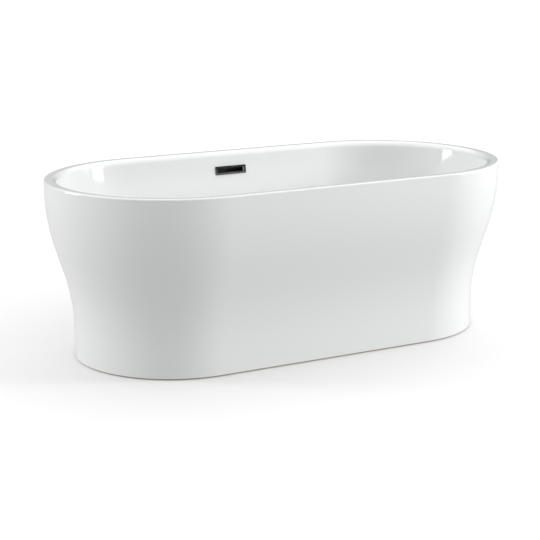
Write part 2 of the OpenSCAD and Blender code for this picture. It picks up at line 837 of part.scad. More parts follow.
// Solid along the overflow pipe's route, with a slight swelling at each bend, run past both ends
module pipe_route(r, past) {
  last = len(pipe_points) - 1;
  rotate([90, 0, 90]) {
    for (i = [0:last - 1]) {
      step = pipe_points[i + 1] - pipe_points[i];
      before = i == 0 ? past : 0;
      after = i == last - 1 ? past : 0;
      translate(pipe_points[i]) rotate([0, 0, heading(pipe_points[i], pipe_points[i + 1])]) rotate([0, 90, 0])
        translate([0, 0, -before]) cylinder(r = r, h = norm(step) + before + after);
    }
    for (i = [1:last - 1]) translate(pipe_points[i]) sphere(r = r + pipe_swell);
  }
}

module overflow_pipe() {
  color("lightgray") difference() {
    pipe_route(pipe_r, 0);
    pipe_route(pipe_r - pipe_wall, cut);
  }
}

// Compression nut round the overflow pipe, closing onto the waste body's side inlet
module overflow_pipe_nut() {
  color(plastic) translate([0, inlet_end + nut_lip, inlet_z]) rotate([90, 0, 0]) difference() {
    cylinder(r = pipe_r + socket_wall + pipe_nut_grow, h = pipe_nut_l, $fn = 12);
    translate([0, 0, -cut]) cylinder(r = pipe_r, h = pipe_nut_l + 2 * cut);
    translate([0, 0, nut_lip]) cylinder(r = pipe_r + socket_wall, h = pipe_nut_l);
  }
}

inner_tub();
inner_laminate();
outer_skirt();
skirt_laminate();
rim_bond();
base_board();
channel(-channel_x, channel_half_l, [-foot_y, foot_y]);  // left_channel
channel(-middle_x, tie_y + tie_w / 2, [0]);  // middle_channel
channel(channel_x, channel_half_l, [-foot_y, foot_y]);  // right_channel
tie_bar(-1);  // front_tie_bar
tie_bar(1);  // back_tie_bar
bracket(-1, -1);  // left_front_bracket
bracket(-1, 1);  // left_back_bracket
bracket(1, -1);  // right_front_bracket
bracket(1, 1);  // right_back_bracket
board_screws();
bracket_screws();
weld_nuts();
lock_nuts();
foot_stem(foot_places[0]);  // left_front_stem
foot_stem(foot_places[1]);  // left_back_stem
foot_stem(foot_places[2]);  // right_front_stem
foot_stem(foot_places[3]);  // right_back_stem
foot_stem(foot_places[4]);  // middle_stem
foot_pad(foot_places[0]);  // left_front_pad
foot_pad(foot_places[1]);  // left_back_pad
foot_pad(foot_places[2]);  // right_front_pad
foot_pad(foot_places[3]);  // right_back_pad
foot_pad(foot_places[4]);  // middle_pad
drain_flange();
flange_gasket();
floor_gasket();
waste_body();
plug_cap();
plug_seal();
plug_stem();
plug_cartridge();
latch_ring();
plug_spring();
trap_nut();
trap_washer();
dip_tube();
trap_body();
trap_cap();
outlet_nut();
outlet_seal();
outlet_elbow();
overflow_cover();
overflow_insert();
overflow_gasket();
overflow_body();
overflow_screws();
overflow_pipe();
overflow_pipe_nut();
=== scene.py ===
import json
import math

import bpy
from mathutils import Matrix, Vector


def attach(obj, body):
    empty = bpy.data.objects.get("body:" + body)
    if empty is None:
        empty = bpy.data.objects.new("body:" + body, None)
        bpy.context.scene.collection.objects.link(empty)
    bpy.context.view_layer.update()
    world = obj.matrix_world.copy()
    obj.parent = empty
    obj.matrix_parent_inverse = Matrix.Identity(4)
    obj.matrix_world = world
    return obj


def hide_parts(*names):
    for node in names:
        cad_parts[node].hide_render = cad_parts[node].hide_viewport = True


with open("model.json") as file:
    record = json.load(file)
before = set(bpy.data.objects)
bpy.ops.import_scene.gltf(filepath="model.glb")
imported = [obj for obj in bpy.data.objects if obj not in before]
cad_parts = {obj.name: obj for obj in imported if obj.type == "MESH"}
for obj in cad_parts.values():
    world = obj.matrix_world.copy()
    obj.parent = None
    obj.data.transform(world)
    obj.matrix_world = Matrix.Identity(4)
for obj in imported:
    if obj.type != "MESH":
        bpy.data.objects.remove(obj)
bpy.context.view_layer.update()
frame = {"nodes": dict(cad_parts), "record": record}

nodes = frame["nodes"]
MM = 0.001

# ---------------------------------------------------------------- sizes, in millimetres
END_X = 390                   # centre of each round end along X
SHEET = 5                     # acrylic sheet
FLOOR_Z, TOP_Z = 155, 580     # bathing floor and top of the rim
DRAIN_R = 23.5                # hole in the bathing floor
OVER_Y, OVER_Z = 358.865, 515 # middle of the overflow slot on the bathing wall
LEAN = 8                      # lean of the wall there, in degrees
COVER_W, COVER_H, COVER_T = 120, 30, 4   # overflow cover
SLOT_W, SLOT_H = 106, 16      # slot through the cover and the wall
PITCH, STEM_R, STEM_TOP = 1.75, 6, 123   # threaded foot stems
BALL_R, BALL_Z = 8, 11        # ball at the foot of each stem
HEXAGON_Z = (16, 24)          # hexagon on each stem
NUT_R, NUT_H, NUT_BORE = 10.5, 10, 6.05
FEET = {"left_front": (-430, -180), "left_back": (-430, 180), "right_front": (430, -180),
        "right_back": (430, 180), "middle": (-160, 0)}
CHANNEL_HALF = 15             # half the width of a channel
CHANNEL_Z = 99                # underside of the channels, where the tie bars are welded on
TIE_EDGES = (125, 155)        # inner and outer edge of each tie bar, out from the middle
BEAD_LEG = 2.6                # leg of a weld bead
HOSE_R, HOSE_BORE = 11.5, 9.5 # overflow hose
HOSE_WAVE, HOSE_CUFF = 4.0, 20.0         # pitch of its corrugations, and its plain ends
HOSE_SIDES = 36               # points round the hose
HOSE_ROUTE = [(380.75, 498.29), (367.39, 403.23), (279.83, 118), (50, 118)]   # corners as (y, z)
HOSE_BENDS = [0, 60, 22, 0]   # radius at each corner
CEILING, FLOOR_GLOW = 1.46, 0.48         # brightness of the studio's ceiling, and its floor's share of it

# Section of the bathing well as (radius, height), from the floor up the wall and over the rim
WELL = [(60, 155), (246.827, 155), (346.919, 430), (368, 580), (410, 580), (410, 566)]
WELL_R = [0, 100, 400, 22, 6, 0]
# Section of the skirt, from its foot up to the rim's lip
SKIRT = [(328, 5), (328, 187), (410, 448.662), (410, 566)]
SKIRT_R = [0, 600, 650, 0]


# ---------------------------------------------------------------- materials
def linear(code):
    """A colour written as sRGB hex, such as F2F1EE, as linear red, green, blue and alpha."""
    parts = [int(code[i:i + 2], 16) / 255 for i in (0, 2, 4)]
    return tuple(c / 12.92 if c <= 0.04045 else ((c + 0.055) / 1.055) ** 2.4 for c in parts) + (1.0,)


def add(tree, kind, settings=None, **links):
    """A node of that kind with its settings, whose inputs are set or linked by name."""
    made = tree.nodes.new("ShaderNode" + kind)
    for key, value in (settings or {}).items():
        setattr(made, key, value)
    for key, value in links.items():
        socket = made.inputs[int(key[1:])] if key[1:].isdigit() else made.inputs[key.replace("_", " ")]
        if isinstance(value, bpy.types.NodeSocket):
            tree.links.new(value, socket)
        else:
            socket.default_value = value
    return made


def finish_of(name, **surface):
    """A new material with one Principled surface, its node tree and that surface."""
    made = bpy.data.materials.new(name)
    made.use_nodes = True
    tree = made.node_tree
    tree.nodes.clear()
    skin = add(tree, "BsdfPrincipled", None, **surface)
    out = add(tree, "OutputMaterial")
    tree.links.new(skin.outputs["BSDF"], out.inputs["Surface"])
    return made, tree, skin


# A wave texture repeats this often over one unit of its scaled vector
WAVES_PER_UNIT = 20


def per_mm(size):
    """Noise scale that gives features of that size in millimetres."""
    return 1000.0 / size


# Cast acrylic (PMMA) sheet, heated and drawn over a mould, then buffed: an even cool white with a
# deep wet gloss. The draw leaves a slow waviness of some 90 mm, and buffing a faint uneven haze.
acrylic, tree, skin = finish_of("drawn_acrylic_sheet", Base_Color=linear("EAEBEB"), Roughness=0.07, IOR=1.49)
place = add(tree, "TexCoord").outputs["Object"]
haze = add(tree, "TexNoise", {"noise_dimensions": "3D"}, Vector=place, Scale=per_mm(45), Detail=3.0)
gloss = add(tree, "MapRange", None, Value=haze.outputs["Fac"], To_Min=0.05, To_Max=0.09)
tree.links.new(gloss.outputs["Result"], skin.inputs["Roughness"])
wave = add(tree, "TexNoise", None, Vector=place, Scale=per_mm(90), Detail=1.0, Roughness=0.4)
bump = add(tree, "Bump", None, Height=wave.outputs["Fac"], Strength=0.05, Distance=0.0006)
tree.links.new(bump.outputs["Normal"], skin.inputs["Normal"])

# Chopped-strand glass mat rolled out in polyester resin: honey coloured, strands 30 to 50 mm long
# lie in all directions under a glossy skin, with paler dry patches
laminate, tree, skin = finish_of("rolled_glass_fibre_laminate", Roughness=0.35, IOR=1.55)
place = add(tree, "TexCoord").outputs["Object"]
strands = None
for turn, tilt in ((0, 20), (55, 80), (110, 140), (160, 50)):
    laid = add(tree, "Mapping", None, Vector=place, Rotation=(math.radians(tilt), math.radians(turn), 0.4),
               Scale=(0.05, 1.0, 1.0))
    run = add(tree, "TexNoise", None, Vector=laid.outputs["Vector"], Scale=per_mm(2.2), Detail=1.0)
    ridge = add(tree, "MapRange", None, Value=run.outputs["Fac"], From_Min=0.52, From_Max=0.62)
    if strands is None:
        strands = ridge.outputs["Result"]
    else:
        strands = add(tree, "Math", {"operation": "MAXIMUM"}, _0=strands, _1=ridge.outputs["Result"]).outputs[0]
patch = add(tree, "TexNoise", None, Vector=place, Scale=per_mm(70), Detail=4.0)
resin = add(tree, "ValToRGB", None, Fac=patch.outputs["Fac"])
resin.color_ramp.elements[0].color, resin.color_ramp.elements[1].color = linear("A99B6E"), linear("D2C8A4")
resin.color_ramp.elements[0].position, resin.color_ramp.elements[1].position = 0.35, 0.68
glass = add(tree, "Mix", {"data_type": "RGBA"}, _0=strands, _6=resin.outputs["Color"], _7=linear("DCD5BA"))
tree.links.new(glass.outputs[2], skin.inputs["Base Color"])
bump = add(tree, "Bump", None, Height=strands, Strength=0.6, Distance=0.0006)
tree.links.new(bump.outputs["Normal"], skin.inputs["Normal"])

# Polyester bonding paste with chalk filler, pushed out of a gun and wiped along by glove: matt
# off-white, lumpy every 12 mm, with grey smears where it was wiped
paste, tree, skin = finish_of("filled_bonding_paste", Roughness=0.72, IOR=1.52)
place = add(tree, "TexCoord").outputs["Object"]
smear = add(tree, "TexNoise", None, Vector=place, Scale=per_mm(25), Detail=5.0, Roughness=0.6)
tint = add(tree, "ValToRGB", None, Fac=smear.outputs["Fac"])
tint.color_ramp.elements[0].color, tint.color_ramp.elements[1].color = linear("B9B7AE"), linear("E2E0D8")
tint.color_ramp.elements[0].position, tint.color_ramp.elements[1].position = 0.3, 0.62
tree.links.new(tint.outputs["Color"], skin.inputs["Base Color"])
lump = add(tree, "TexNoise", None, Vector=place, Scale=per_mm(12), Detail=4.0)
bump = add(tree, "Bump", None, Height=lump.outputs["Fac"], Strength=0.7, Distance=0.002)
tree.links.new(bump.outputs["Normal"], skin.inputs["Normal"])

# Cold-rolled steel box section and flat bar under one coat of sprayed grey primer: satin, with an
# orange-peel surface about 1.5 mm across, drawn coarser than life so that it shows, and dry dusty spray
primed, tree, skin = finish_of("primed_steel_section", Roughness=0.48)
place = add(tree, "TexCoord").outputs["Object"]
dust = add(tree, "TexNoise", None, Vector=place, Scale=per_mm(60), Detail=6.0, Roughness=0.65)
tint = add(tree, "ValToRGB", None, Fac=dust.outputs["Fac"])
tint.color_ramp.elements[0].color, tint.color_ramp.elements[1].color = linear("787B80"), linear("9A9DA2")
tint.color_ramp.elements[0].position, tint.color_ramp.elements[1].position = 0.38, 0.66
tree.links.new(tint.outputs["Color"], skin.inputs["Base Color"])
sheen = add(tree, "MapRange", None, Value=dust.outputs["Fac"], To_Min=0.38, To_Max=0.62)
tree.links.new(sheen.outputs["Result"], skin.inputs["Roughness"])
peel = add(tree, "TexNoise", None, Vector=place, Scale=per_mm(2.5), Detail=2.0)
bump = add(tree, "Bump", None, Height=peel.outputs["Fac"], Strength=0.25, Distance=0.0003)
tree.links.new(bump.outputs["Normal"], skin.inputs["Normal"])

# Cold-headed and rolled steel, bright zinc plated: silvery with a faint straw and blue passivated
# bloom, and dull patches where parts knocked together in the barrel
zinc, tree, skin = finish_of("zinc_plated_steel", Metallic=1.0, Roughness=0.32)
place = add(tree, "TexCoord").outputs["Object"]
bloom = add(tree, "TexNoise", None, Vector=place, Scale=per_mm(9), Detail=3.0)
tint = add(tree, "ValToRGB", None, Fac=bloom.outputs["Fac"])
tint.color_ramp.elements[0].color, tint.color_ramp.elements[1].color = linear("B3B9C4"), linear("CBC6B4")
tint.color_ramp.elements[0].position, tint.color_ramp.elements[1].position = 0.35, 0.65
tree.links.new(tint.outputs["Color"], skin.inputs["Base Color"])
knocks = add(tree, "TexNoise", None, Vector=place, Scale=per_mm(1.6), Detail=4.0)
dull = add(tree, "MapRange", None, Value=knocks.outputs["Fac"], From_Min=0.35, From_Max=0.7,
           To_Min=0.22, To_Max=0.5)
tree.links.new(dull.outputs["Result"], skin.inputs["Roughness"])

# Brass, polished and plated with dark chrome: a smoky mirror with a few wiping marks
chrome, tree, skin = finish_of("dark_chromed_brass", Base_Color=linear("7C7D80"), Metallic=1.0, Roughness=0.1)
place = add(tree, "TexCoord").outputs["Object"]
wipe = add(tree, "Mapping", None, Vector=place, Scale=(0.25, 1.0, 1.0))
marks = add(tree, "TexNoise", None, Vector=wipe.outputs["Vector"], Scale=per_mm(4), Detail=5.0, Roughness=0.6)
gloss = add(tree, "MapRange", None, Value=marks.outputs["Fac"], From_Min=0.35, From_Max=0.7,
            To_Min=0.07, To_Max=0.2)
tree.links.new(gloss.outputs["Result"], skin.inputs["Roughness"])

# Free-cutting brass, turned on a lathe: warm yellow with feed rings 0.15 mm apart, drawn at 0.5 mm
# so that they show, and a brown tarnish in patches
brass, tree, skin = finish_of("turned_brass", Metallic=1.0, Roughness=0.24)
place = add(tree, "TexCoord").outputs["Object"]
tarnish = add(tree, "TexNoise", None, Vector=place, Scale=per_mm(7), Detail=4.0)
tint = add(tree, "ValToRGB", None, Fac=tarnish.outputs["Fac"])
tint.color_ramp.elements[0].color, tint.color_ramp.elements[1].color = linear("A9803F"), linear("DDBB72")
tint.color_ramp.elements[0].position, tint.color_ramp.elements[1].position = 0.35, 0.6
tree.links.new(tint.outputs["Color"], skin.inputs["Base Color"])
rings = add(tree, "TexWave", {"bands_direction": "Z"}, Vector=place, Scale=per_mm(0.5) / WAVES_PER_UNIT)
bump = add(tree, "Bump", None, Height=rings.outputs["Fac"], Strength=0.3, Distance=0.0001)
tree.links.new(bump.outputs["Normal"], skin.inputs["Normal"])

# Injection-moulded polypropylene with a spark-eroded grain of about 1 mm, waxy and almost black,
# with lighter flow marks and a slow shrinkage ripple
moulding, tree, skin = finish_of("moulded_polypropylene", Roughness=0.46, IOR=1.49)
place = add(tree, "TexCoord").outputs["Object"]
flow = add(tree, "TexNoise", None, Vector=place, Scale=per_mm(30), Detail=3.0)
tint = add(tree, "ValToRGB", None, Fac=flow.outputs["Fac"])
tint.color_ramp.elements[0].color, tint.color_ramp.elements[1].color = linear("232325"), linear("36363A")
tint.color_ramp.elements[0].position, tint.color_ramp.elements[1].position = 0.35, 0.7
tree.links.new(tint.outputs["Color"], skin.inputs["Base Color"])
grain = add(tree, "TexVoronoi", None, Vector=place, Scale=per_mm(1.1))
ripple = add(tree, "TexNoise", None, Vector=place, Scale=per_mm(22), Detail=1.0)
relief = add(tree, "Math", {"operation": "MULTIPLY_ADD"}, _0=ripple.outputs["Fac"], _1=3.0,
             _2=grain.outputs["Distance"])
bump = add(tree, "Bump", None, Height=relief.outputs[0], Strength=0.35, Distance=0.0002)
tree.links.new(bump.outputs["Normal"], skin.inputs["Normal"])

# Blown PVC hose: soft satin grey, cloudy, with dust caught between the corrugations
hose, tree, skin = finish_of("blown_pvc_hose", Roughness=0.42, IOR=1.53)
place = add(tree, "TexCoord").outputs["Object"]
cloud = add(tree, "TexNoise", None, Vector=place, Scale=per_mm(18), Detail=5.0)
tint = add(tree, "ValToRGB", None, Fac=cloud.outputs["Fac"])
tint.color_ramp.elements[0].color, tint.color_ramp.elements[1].color = linear("9C9DA0"), linear("C4C5C7")
tint.color_ramp.elements[0].position, tint.color_ramp.elements[1].position = 0.33, 0.62
tree.links.new(tint.outputs["Color"], skin.inputs["Base Color"])
dusty = add(tree, "MapRange", None, Value=cloud.outputs["Fac"], To_Min=0.32, To_Max=0.6)
tree.links.new(dusty.outputs["Result"], skin.inputs["Roughness"])

# Natural acetal, machined from bar: ivory, slightly see-through, with fine tool marks
acetal, tree, skin = finish_of("natural_acetal", Base_Color=linear("DFDCD0"), Roughness=0.36, IOR=1.48,
                               Subsurface_Weight=0.2, Subsurface_Scale=0.002)
place = add(tree, "TexCoord").outputs["Object"]
tooled = add(tree, "TexWave", {"bands_direction": "Z"}, Vector=place, Scale=per_mm(0.6) / WAVES_PER_UNIT,
             Distortion=1.5)
bump = add(tree, "Bump", None, Height=tooled.outputs["Fac"], Strength=0.2, Distance=0.0001)
tree.links.new(bump.outputs["Normal"], skin.inputs["Normal"])
patch = add(tree, "TexNoise", None, Vector=place, Scale=per_mm(5), Detail=3.0)
satin = add(tree, "MapRange", None, Value=patch.outputs["Fac"], To_Min=0.3, To_Max=0.48)
tree.links.new(satin.outputs["Result"], skin.inputs["Roughness"])

# Compression-moulded nitrile rubber: dull black with a pale talc bloom
rubber, tree, skin = finish_of("nitrile_rubber", Roughness=0.78, IOR=1.52)
place = add(tree, "TexCoord").outputs["Object"]
talc = add(tree, "TexNoise", None, Vector=place, Scale=per_mm(6), Detail=6.0, Roughness=0.7)
tint = add(tree, "ValToRGB", None, Fac=talc.outputs["Fac"])
tint.color_ramp.elements[0].color, tint.color_ramp.elements[1].color = linear("141414"), linear("3A3A39")
tint.color_ramp.elements[0].position, tint.color_ramp.elements[1].position = 0.45, 0.75
tree.links.new(tint.outputs["Color"], skin.inputs["Base Color"])
bump = add(tree, "Bump", None, Height=talc.outputs["Fac"], Strength=0.2, Distance=0.0002)
tree.links.new(bump.outputs["Normal"], skin.inputs["Normal"])

# Birch plywood, sanded and left raw: straw coloured faces with grain along the bath, and 1.5 mm
# plies on its sawn edges, every other one darker where it shows end grain
plywood, tree, skin = finish_of("raw_birch_plywood", Roughness=0.62, IOR=1.5)
place = add(tree, "TexCoord").outputs["Object"]
along = add(tree, "Mapping", None, Vector=place, Scale=(0.04, 1.0, 1.0))
fibre = add(tree, "TexNoise", None, Vector=along.outputs["Vector"], Scale=per_mm(5), Detail=6.0, Roughness=0.6,
            Distortion=0.3)
face = add(tree, "ValToRGB", None, Fac=fibre.outputs["Fac"])
face.color_ramp.elements[0].color, face.color_ramp.elements[1].color = linear("B48F61"), linear("DCC096")
face.color_ramp.elements[0].position, face.color_ramp.elements[1].position = 0.32, 0.64
plies = add(tree, "TexWave", {"bands_direction": "Z", "wave_profile": "SAW"}, Vector=place,
            Scale=per_mm(3) / WAVES_PER_UNIT)
ply = add(tree, "Math", {"operation": "GREATER_THAN"}, _0=plies.outputs["Fac"], _1=0.5)
ends = add(tree, "TexNoise", None, Vector=place, Scale=per_mm(1.5), Detail=4.0)
dark = add(tree, "Mix", {"data_type": "RGBA"}, _0=ends.outputs["Fac"], _6=linear("7E5A36"), _7=linear("A37B4E"))
edge_on = add(tree, "Mix", {"data_type": "RGBA"}, _0=ply.outputs[0], _6=linear("CFB083"), _7=dark.outputs[2])
level = add(tree, "SeparateXYZ", None, Vector=add(tree, "NewGeometry").outputs["Normal"])
steep = add(tree, "Math", {"operation": "ABSOLUTE"}, _0=level.outputs["Z"])
wood = add(tree, "Mix", {"data_type": "RGBA"}, _0=steep.outputs[0], _6=edge_on.outputs[2],
           _7=face.outputs["Color"])
tree.links.new(wood.outputs[2], skin.inputs["Base Color"])
bump = add(tree, "Bump", None, Height=fibre.outputs["Fac"], Strength=0.3, Distance=0.0003)
tree.links.new(bump.outputs["Normal"], skin.inputs["Normal"])

# Welding bead left bare: steel blued by the heat, rippled every 1.5 mm
weld, tree, skin = finish_of("bare_weld_bead", Metallic=1.0, Roughness=0.42)
place = add(tree, "TexCoord").outputs["Object"]
heat = add(tree, "TexNoise", None, Vector=place, Scale=per_mm(6), Detail=3.0)
tint = add(tree, "ValToRGB", None, Fac=heat.outputs["Fac"])
tint.color_ramp.elements[0].color, tint.color_ramp.elements[1].color = linear("5C6068"), linear("8D8474")
tree.links.new(tint.outputs["Color"], skin.inputs["Base Color"])

BY_SLOT = {
    "acrylic": acrylic, "laminate": laminate, "adhesive": paste, "board": plywood, "steel": primed,
    "zinc": zinc, "chrome": chrome, "brass": brass, "moulding": moulding, "hose": hose, "latch": acetal,
    "seal": rubber,
}
for row in frame["record"]["subparts"]:
    shown = nodes[row["node"]]
    shown.data.materials.clear()
    shown.data.materials.append(BY_SLOT[row["material_slot"]])


# ---------------------------------------------------------------- making meshes
def rounded(corners, radii, turn_step=2.5, run_step=40.0, stops=None):
    """Points and left-hand normals along straight runs joined by arcs of those radii.
    stops gives, for a run, extra distances from its first corner."""
    heads = [math.atan2(q[1] - p[1], q[0] - p[0]) for p, q in zip(corners, corners[1:])]
    turns = [0.0] + [(b - a + math.pi) % math.tau - math.pi for a, b in zip(heads, heads[1:])] + [0.0]
    trims = [r * math.tan(abs(t) / 2) for r, t in zip(radii, turns)]
    line = []
    for i, head in enumerate(heads):
        (px, pz), (qx, qz) = corners[i], corners[i + 1]
        dx, dz, normal = math.cos(head), math.sin(head), (-math.sin(head), math.cos(head))
        a, b = trims[i], math.hypot(qx - px, qz - pz) - trims[i + 1]
        steps = max(1, math.ceil((b - a) / run_step))
        marks = sorted({a + (b - a) * k / steps for k in range(steps + 1)} | set((stops or {}).get(i, ())))
        line += [((px + dx * m, pz + dz * m), normal) for m in marks]
        if i + 1 < len(heads):
            side = math.copysign(1, turns[i + 1])
            ex, ez = px + dx * b, pz + dz * b
            cx, cz = ex + side * radii[i + 1] * normal[0], ez + side * radii[i + 1] * normal[1]
            bits = max(2, math.ceil(abs(math.degrees(turns[i + 1])) / turn_step))
            for k in range(1, bits):
                a2 = head + turns[i + 1] * k / bits
                nx, nz = -math.sin(a2), math.cos(a2)
                line.append(((cx - side * radii[i + 1] * nx, cz - side * radii[i + 1] * nz), (nx, nz)))
    return line


def stations(end_parts, stops):
    """Places round the outline as (centre x, angle), with stops along its two straight sides."""
    quarter = [math.pi * (k / end_parts - 0.5) for k in range(end_parts + 1)]
    ring = [(END_X, a) for a in quarter]
    ring += [(x, math.pi / 2) for x in sorted(stops, reverse=True)]
    ring += [(-END_X, a + math.pi) for a in quarter]
    ring += [(x, -math.pi / 2) for x in sorted(stops)]
    return ring


def new_piece(name, made_of, finish, body="bath", crease=None):
    """A mesh piece from collected points in millimetres that rides on a body. Its normals are the
    collected ones, or follow its faces with a hard edge where they turn by more than crease degrees."""
    mesh = bpy.data.meshes.new(name)
    mesh.from_pydata([(x * MM, y * MM, z * MM) for x, y, z in made_of.points], [], made_of.faces)
    mesh.materials.append(finish)
    mesh.polygons.foreach_set("use_smooth", [True] * len(mesh.polygons))
    if crease is None:
        mesh.normals_split_custom_set_from_vertices(made_of.normals)
    else:
        mesh.set_sharp_from_angle(angle=math.radians(crease))
    mesh.update()
    made = bpy.data.objects.new(name, mesh)
    bpy.context.scene.collection.objects.link(made)
    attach(made, body)
    return made


class Gathered:
    """Points with their normals, and faces, gathered ring by ring into one mesh."""

    def __init__(self):
        self.points, self.normals, self.faces = [], [], []

    def ring(self, ring, radius, z, nr, nz):
        start = len(self.points)
        for cx, a in ring:
            self.points.append((cx + radius * math.cos(a), radius * math.sin(a), z))
            self.normals.append((nr * math.cos(a), nr * math.sin(a), nz))
        return start

    def join(self, low, high, count, flip, skip=()):
        for k in range(count):
            if k in skip:
                continue
            m = (k + 1) % count
            face = (low + k, low + m, high + m, high + k)
            self.faces.append(face[::-1] if flip else face)

    def surface(self, ring, line, flip, skip=()):
        """A surface through a section line; skip holds the (row, column) cells that are left open."""
        starts = [self.ring(ring, p[0], p[1], n[0], n[1]) for p, n in line]
        for row, (low, high) in enumerate(zip(starts, starts[1:])):
            self.join(low, high, len(ring), flip, {c for r, c in skip if r == row})
        return starts


def shell(line, side, ring, edges, skip=()):
    """A sheet of even thickness, shown on the left (1) or right (-1) of its section line, with its
    cut edge closed at the start (0) or end (-1) of the line."""
    made = Gathered()
    face = [(p, (n[0] * side, n[1] * side)) for p, n in line]
    back = [((p[0] - n[0] * SHEET, p[1] - n[1] * SHEET), (-n[0], -n[1])) for p, n in face]
    made.surface(ring, face, side > 0, skip)
    made.surface(ring, back, side < 0, skip)
    for end in edges:
        (p, _), (q, _) = face[end], back[end]
        a = made.ring(ring, p[0], p[1], 0, -1)
        b = made.ring(ring, q[0], q[1], 0, -1)
        made.join(a, b, len(ring), (end == 0) != (side > 0))
    return made


# The bathing well: one drawn sheet, cut for the drain in its floor and the overflow in its back wall
ring = stations(72, [*range(-360, 361, 20), -SLOT_W / 2, SLOT_W / 2])
slot_columns = range(ring.index((SLOT_W / 2, math.pi / 2)), ring.index((-SLOT_W / 2, math.pi / 2)))
wall_run = math.hypot(WELL[3][0] - WELL[2][0], WELL[3][1] - WELL[2][1])
slot_middle = wall_run - (TOP_Z - OVER_Z) / math.cos(math.radians(LEAN))
slot_low, slot_high = slot_middle - SLOT_H / 2, slot_middle + SLOT_H / 2
well_line = rounded(WELL, WELL_R, stops={2: (slot_low, slot_high)})
row_of = {}
for k, (p, n) in enumerate(well_line):
    along = math.hypot(p[0] - WELL[2][0], p[1] - WELL[2][1])
    if abs(n[0] + math.cos(math.radians(LEAN))) < 1e-3:
        row_of[round(along, 3)] = k
first, last = row_of[round(slot_low, 3)], row_of[round(slot_high, 3)]
opening = {(row, column) for row in range(first, last) for column in slot_columns}
tub = shell(well_line, 1, ring, (-1,), opening)

# Edges of the sheet round the overflow slot
edge = []
for row in (first, last):
    (pr, pz), (nr, nz) = well_line[row]
    for x in (SLOT_W / 2, -SLOT_W / 2):
        edge.append(((x, pr, pz), (x, pr - SHEET * nr, pz - SHEET * nz)))
for a, b in ((0, 1), (1, 3), (3, 2), (2, 0)):
    start = len(tub.points)
    tub.points += [edge[a][0], edge[b][0], edge[b][1], edge[a][1]]
    across, through = Vector(edge[b][0]) - Vector(edge[a][0]), Vector(edge[a][1]) - Vector(edge[a][0])
    tub.normals += [tuple(across.cross(through).normalized())] * 4
    tub.faces.append((start, start + 1, start + 2, start + 3))

# Bathing floor between the well's first ring and the drain hole, above and below, and the hole's edge
lengths = [0.0]
spots = [(cx + WELL[0][0] * math.cos(a), WELL[0][0] * math.sin(a)) for cx, a in ring]
for p, q in zip(spots, spots[1:] + spots[:1]):
    lengths.append(lengths[-1] + math.dist(p, q))
start_angle = -math.pi / 2 + END_X / lengths[-1] * math.tau
hole = [start_angle + math.tau * length / lengths[-1] for length in lengths[:-1]]


def drain_ring(z, normal_at):
    """The drain hole's edge at a height, with a normal for each angle."""
    start = len(tub.points)
    tub.points += [(DRAIN_R * math.cos(a), DRAIN_R * math.sin(a), z) for a in hole]
    tub.normals += [normal_at(a) for a in hole]
    return start


for z, nz in ((FLOOR_Z, 1), (FLOOR_Z - SHEET, -1)):
    outer = tub.ring(ring, WELL[0][0], z, 0, nz)
    inner = drain_ring(z, lambda a: (0, 0, nz))
    tub.join(inner, outer, len(ring), nz > 0)
upper, lower = (drain_ring(z, lambda a: (-math.cos(a), -math.sin(a), 0)) for z in (FLOOR_Z, FLOOR_Z - SHEET))
tub.join(upper, lower, len(ring), False)
piece = new_piece("inner_tub_skin", tub, acrylic)
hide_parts("inner_tub")

# The skirt: one drawn sheet that flares out from a narrow foot and meets the rim's lip flush
skirt = shell(rounded(SKIRT, SKIRT_R, turn_step=0.5), -1, ring, (0, -1))
piece = new_piece("outer_skirt_skin", skirt, acrylic)
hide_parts("outer_skirt")


# Overflow cover: a pressed and plated frame round its slot, with soft outer and inner edges
def frame_loop(made, wide, high, corner, z, steps=6):
    """A rounded rectangle on the bathing wall, as points that face up the wall's slope."""
    start = len(made.points)
    lean = math.radians(LEAN)
    for cx, cy, turn in ((1, 1, 0), (-1, 1, 90), (-1, -1, 180), (1, -1, 270)):
        for k in range(steps + 1):
            a = math.radians(turn + 90 * k / steps)
            x = cx * (wide / 2 - corner) + corner * math.cos(a)
            up = cy * (high / 2 - corner) + corner * math.sin(a)
            made.points.append((x, OVER_Y + up * math.sin(lean) - z * math.cos(lean),
                                OVER_Z + up * math.cos(lean) + z * math.sin(lean)))
    return start


cover = Gathered()
starts = [frame_loop(cover, COVER_W - in_by, COVER_H - in_by, corner, COVER_T - down)
          for in_by, corner, down in ((0, 2, COVER_T), (0, 2, 1.0), (0.4, 1.8, 0.5), (1.4, 1.4, 0))]
starts += [frame_loop(cover, SLOT_W + out_by, SLOT_H + out_by, corner, COVER_T - down)
           for out_by, corner, down in ((1.4, 1.6, 0), (0.5, 1.2, 0.4), (0, 1, 1.2), (0, 1, COVER_T))]
for low, high in zip(starts, starts[1:] + starts[:1]):
    cover.join(low, high, starts[1] - starts[0], False)
piece = new_piece("overflow_cover_frame", cover, chrome, crease=35)
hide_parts("overflow_cover")


# Levelling feet: rolled M12 thread, a hexagon to turn it by, and the ball that sits in the pad
def hexagon_radius(a, corner):
    """Distance to a hexagon's side at an angle, for that corner radius."""
    half_side = math.radians(30)
    return corner * math.cos(half_side) / math.cos((a + half_side) % (2 * half_side) - half_side)


def lathe(made, cx, cy, outline, columns):
    """Rings round a vertical line at (cx, cy) through (radius, height) pairs; either may be a function
    of the angle."""
    starts = []
    for radius, height in outline:
        starts.append(len(made.points))
        for k in range(columns):
            a = 2 * math.pi * k / columns
            r = radius(a) if callable(radius) else radius
            z = height(a) if callable(height) else height
            made.points.append((cx + r * math.cos(a), cy + r * math.sin(a), z))
    for low, high in zip(starts, starts[1:]):
        made.join(low, high, columns, False)


